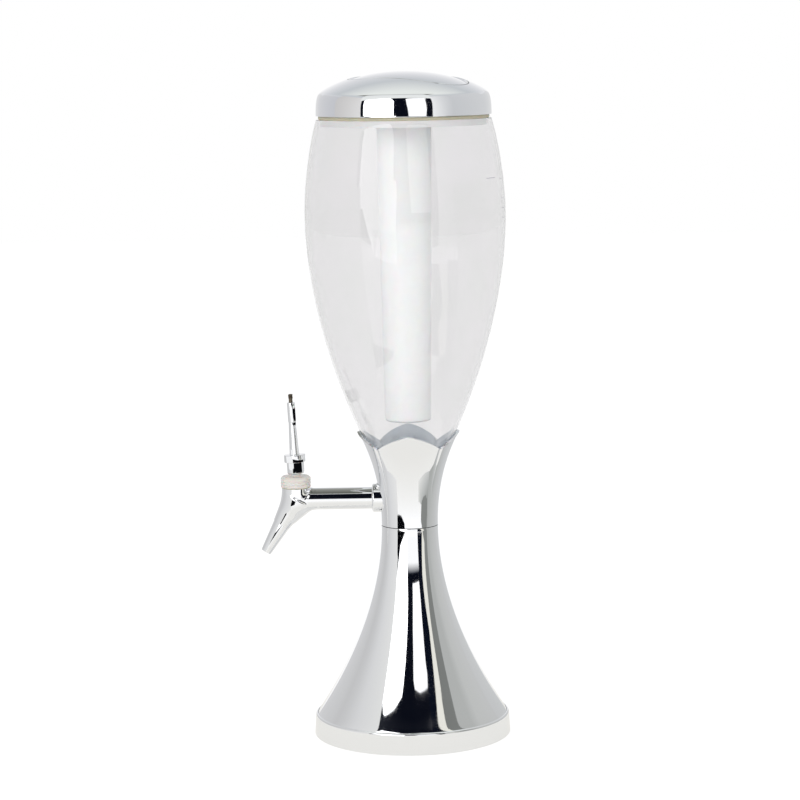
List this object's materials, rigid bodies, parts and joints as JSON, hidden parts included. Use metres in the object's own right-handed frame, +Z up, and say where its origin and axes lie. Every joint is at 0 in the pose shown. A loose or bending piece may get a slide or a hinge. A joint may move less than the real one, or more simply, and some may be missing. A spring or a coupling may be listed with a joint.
{
  "type": "beer tower dispenser",
  "caption": "Table-top drink tower: vase-shaped clear tank on a flared plated pedestal, domed lift-off lid with ice tube, lever tap on one side.",
  "frame": {"origin": "on the tower's axis, at the underside of the anti-slip pad", "axes": "+Z up along the tower's axis, the tap points to -X, +Y points away from the viewer"},
  "size_m": [0.2214, 0.177, 0.5917],
  "materials": {
    "plated_plastic": "bright chrome plating on moulded ABS",
    "clear_tank": "clear polycarbonate, polished both sides",
    "frosted_tube": "translucent frosted polypropylene",
    "milky_plastic": "milky white nylon, satin",
    "silicone": "cream silicone, matte",
    "black_rubber": "black rubber, matte",
    "base_plate_plastic": "black ABS, fine texture",
    "ballast_iron": "bare grey iron",
    "coupling_plastic": "glass-filled nylon, satin",
    "stainless": "stainless steel, plain",
    "spring_steel": "drawn spring wire",
    "stud_metal": "dulled plated brass, threaded"
  },
  "bodies": {
    "tower": {"base_pad": "black_rubber", "base_plate": "base_plate_plastic", "base_screws": "stainless", "ballast_weight": "ballast_iron", "base_ring": "plated_plastic", "pedestal": "plated_plastic", "neck_coupling": "coupling_plastic", "neck_gasket": "black_rubber", "collar": "plated_plastic", "tank_gasket": "silicone", "tank": "clear_tank", "tap_body": "plated_plastic", "tap_flange": "plated_plastic", "tap_washer": "silicone", "tap_locknut": "milky_plastic", "spout_nozzle": "plated_plastic", "bonnet_gasket": "silicone", "bonnet": "milky_plastic", "stem_seal": "black_rubber", "valve_spring": "spring_steel"},
    "stem": {"valve_stem": "stainless", "valve_plug": "silicone"},
    "lever": {"lever": "plated_plastic", "lever_pin": "stainless", "handle_ferrule": "plated_plastic", "handle_stud": "stud_metal"},
    "lid": {"lid_shell": "plated_plastic", "lid_liner": "frosted_tube", "lid_screws": "stainless", "lid_gasket": "silicone", "tube_socket": "milky_plastic", "tube_seal": "silicone"},
    "ice_tube": {"ice_tube": "frosted_tube"}
  },
  "joints": [
    {"name": "stem_lift", "type": "slide", "parent": "tower", "child": "stem", "axis": [0, 0, 1], "range_m": [0, 0.0033], "deforming": ["valve_spring"]},
    {"name": "lever_tilt", "type": "hinge", "parent": "stem", "child": "lever", "pos_m": [-0.101, 0, 0.24336], "axis": [0, -1, 0], "range_deg": [0, 27], "stiffness_Nm_per_rad": 0.4, "springref_deg": -5.73},
    {"name": "lid_lift", "type": "slide", "parent": "tower", "child": "lid", "axis": [0, 0, 1], "range_m": [0, 0.3]},
    {"name": "ice_tube_turn", "type": "hinge", "parent": "lid", "child": "ice_tube", "pos_m": [0, 0, 0.56], "axis": [0, 0, 1], "range_deg": [0, 60]}
  ],
  "couplings": [
    {"joint": "stem_lift", "follows": "lever_tilt", "m_per_rad": 0.0068}
  ]
}
